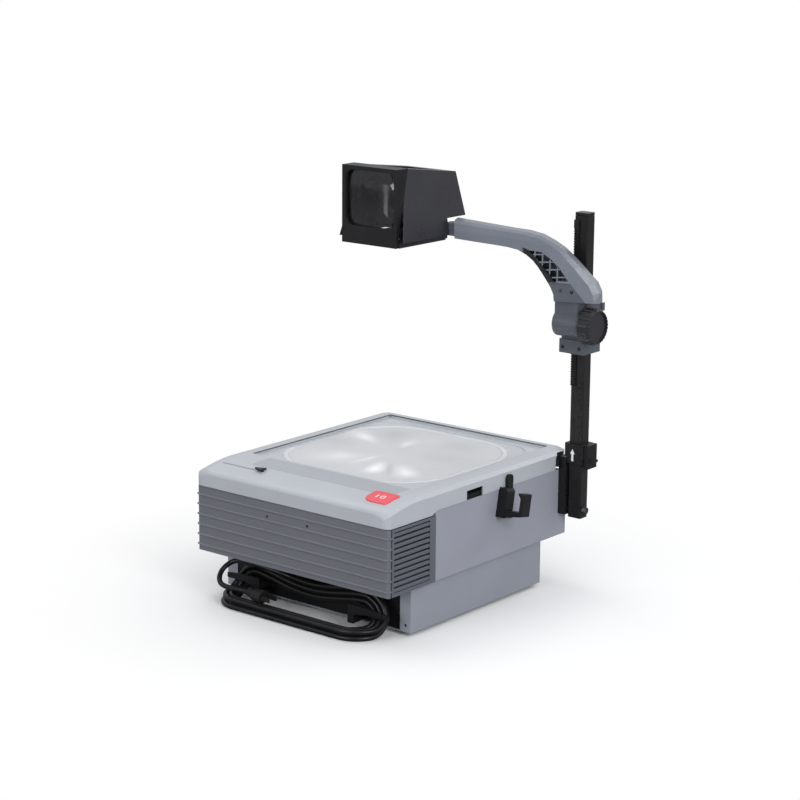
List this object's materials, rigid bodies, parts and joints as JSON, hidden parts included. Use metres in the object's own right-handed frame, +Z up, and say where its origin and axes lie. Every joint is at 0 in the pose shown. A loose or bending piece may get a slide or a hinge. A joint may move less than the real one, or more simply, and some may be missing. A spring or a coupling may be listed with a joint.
{
  "type": "overhead projector",
  "caption": "Grey overhead projector with a glass stage, ribbed front, red power button, folding black mast, arm with a tilting mirror head, focus knob and a wound mains cord.",
  "frame": {"origin": "middle of the footprint on the floor, under the feet, measured without the free cord", "axes": "+Z up; +X to the right of the operator side, where the mast stands; -Y towards the ribbed front with the button and the cord"},
  "size_m": [0.4124, 0.417, 0.5835],
  "materials": {
    "cover_grey": "pale grey, satin, finely textured",
    "front_grey": "mid grey, ribbed moulding, satin",
    "side_grey": "grey paint, satin",
    "base_grey": "grey paint, satin",
    "arm_grey": "dark grey paint on a casting, satin",
    "tab_grey": "grey, satin",
    "hood_black": "charcoal, satin",
    "mast_black": "black paint, satin",
    "plastic_black": "black, satin",
    "rubber_black": "black, matt",
    "button_red": "red, satin",
    "glass_clear": "clear, polished",
    "lens_clear": "clear, polished",
    "lamp_glass": "clear quartz",
    "steel_bright": "bright sheet steel",
    "steel_plain": "plain steel",
    "reflector_silver": "bright aluminium",
    "copper_brown": "varnished winding wrap",
    "mirror_silver": "front-silvered"
  },
  "bodies": {
    "base": {"pedestal_shell": "base_grey", "pedestal_front_panel": "plastic_black", "foot_front_left": "rubber_black", "foot_front_right": "rubber_black", "foot_rear_left": "rubber_black", "foot_rear_right": "rubber_black", "housing_tub": "side_grey", "front_panel": "front_grey", "louvre_left": "front_grey", "louvre_right": "front_grey", "side_plate_left": "side_grey", "side_plate_right": "side_grey", "lid_hinge_rod": "steel_plain", "transformer_core": "steel_plain", "transformer_coil": "copper_brown", "fan_shroud": "plastic_black", "fan_motor": "steel_plain", "lamp_rail": "plastic_black", "condenser_bridge": "plastic_black", "condenser_lens": "glass_clear", "mast_bracket": "side_grey", "pivot_bolt": "steel_plain", "mast_rest_hook": "mast_black", "cord_hook_left": "plastic_black", "cord_hook_right": "plastic_black", "strain_relief": "plastic_black", "cord_lead": "rubber_black", "cord_hank": "rubber_black", "cord_tail": "rubber_black", "mains_plug": "plastic_black"},
    "fan": {"fan_rotor": "plastic_black"},
    "latch": {"latch_tab": "tab_grey"},
    "lever": {"rest_lever": "plastic_black"},
    "lid": {"top_cover": "cover_grey", "stage_glass": "glass_clear", "fresnel_lens": "lens_clear", "lens_frame": "plastic_black", "power_switch": "plastic_black"},
    "button": {"power_button": "button_red"},
    "changer": {"changer_slider": "plastic_black"},
    "lamps": {"lamp_carriage": "steel_bright", "lamp_main": "lamp_glass", "lamp_spare": "lamp_glass", "reflector_main": "reflector_silver", "reflector_spare": "reflector_silver"},
    "mast": {"mast_tube": "mast_black", "mast_cap": "mast_black", "mast_rack": "mast_black"},
    "collar": {"release_collar": "mast_black"},
    "carriage": {"carriage_housing": "arm_grey", "arm": "arm_grey", "head_knuckle": "plastic_black"},
    "knob": {"focus_knob": "hood_black", "pinion_shaft": "steel_plain"},
    "head": {"head_hood": "hood_black", "lens_bezel": "hood_black", "front_lens": "lens_clear", "head_tray": "hood_black", "lower_lens": "lens_clear", "head_mirror": "mirror_silver"}
  },
  "joints": [
    {"name": "lid_hinge", "type": "hinge", "parent": "base", "child": "lid", "pos_m": [-0.20205, -0.00515, 0.15], "axis": [0, 1, 0], "range_deg": [-30, 0]},
    {"name": "mast_fold", "type": "hinge", "parent": "base", "child": "mast", "pos_m": [0.16185, 0.17985, 0.107], "axis": [1, 0, 0], "range_deg": [0, 36]},
    {"name": "collar_slide", "type": "slide", "parent": "mast", "child": "collar", "axis": [0, 0, 1], "range_m": [0, 0.012]},
    {"name": "focus_slide", "type": "slide", "parent": "mast", "child": "carriage", "axis": [0, 0, 1], "range_m": [-0.08, 0.088]},
    {"name": "focus_knob_turn", "type": "hinge", "parent": "carriage", "child": "knob", "pos_m": [0.18515, 0.15485, 0.3715], "axis": [1, 0, 0], "range_deg": [-500, 460]},
    {"name": "head_tilt", "type": "hinge", "parent": "carriage", "child": "head", "pos_m": [-0.03315, 0.07785, 0.494], "axis": [1, 0, 0], "range_deg": [-5, 10]},
    {"name": "power_button_press", "type": "slide", "parent": "lid", "child": "button", "axis": [0, 0, -1], "range_m": [0, 0.002], "stiffness_N_per_m": 300},
    {"name": "lamp_shift", "type": "slide", "parent": "base", "child": "lamps", "axis": [-1, 0, 0], "range_m": [0, 0.045]},
    {"name": "changer_shift", "type": "slide", "parent": "lid", "child": "changer", "axis": [-1, 0, 0], "range_m": [0, 0.045]},
    {"name": "fan_spin", "type": "hinge", "parent": "base", "child": "fan", "pos_m": [-0.06015, 0.17485, 0.111], "axis": [0, 1, 0], "continuous": true},
    {"name": "lid_latch", "type": "slide", "parent": "base", "child": "latch", "axis": [-1, 0, 0], "range_m": [0, 0.003]},
    {"name": "rest_lever_turn", "type": "hinge", "parent": "base", "child": "lever", "pos_m": [0.14085, 0.05055, 0.153], "axis": [1, 0, 0], "range_deg": [-60, 60]}
  ],
  "couplings": [
    {"joint": "focus_knob_turn", "follows": "focus_slide", "rad_per_m": -78.125},
    {"joint": "changer_shift", "follows": "lamp_shift", "ratio": 1}
  ]
}
